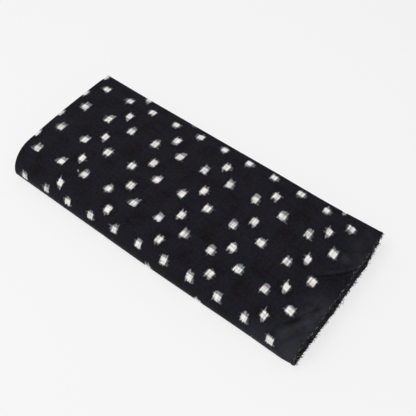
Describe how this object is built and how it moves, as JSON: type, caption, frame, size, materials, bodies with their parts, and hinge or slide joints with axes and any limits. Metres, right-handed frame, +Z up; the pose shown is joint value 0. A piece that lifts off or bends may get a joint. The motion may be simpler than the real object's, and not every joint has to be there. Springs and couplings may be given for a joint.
{
  "type": "folded double ikat fabric",
  "caption": "Length of double ikat cloth, doubled across its width and folded back and forth into a flat wedge-shaped packet with one wrapped side.",
  "frame": {"origin": "middle of the packet's underside", "axes": "+X along the packet towards its selvage end, +Y across it towards the side with the narrow turns, +Z up through the layers"},
  "size_m": [0.585, 0.264, 0.052],
  "materials": {
    "cloth": "matt plain weave, resist-dyed in both directions"
  },
  "bodies": {
    "root": {"folded_cloth": "cloth"}
  },
  "joints": []
}
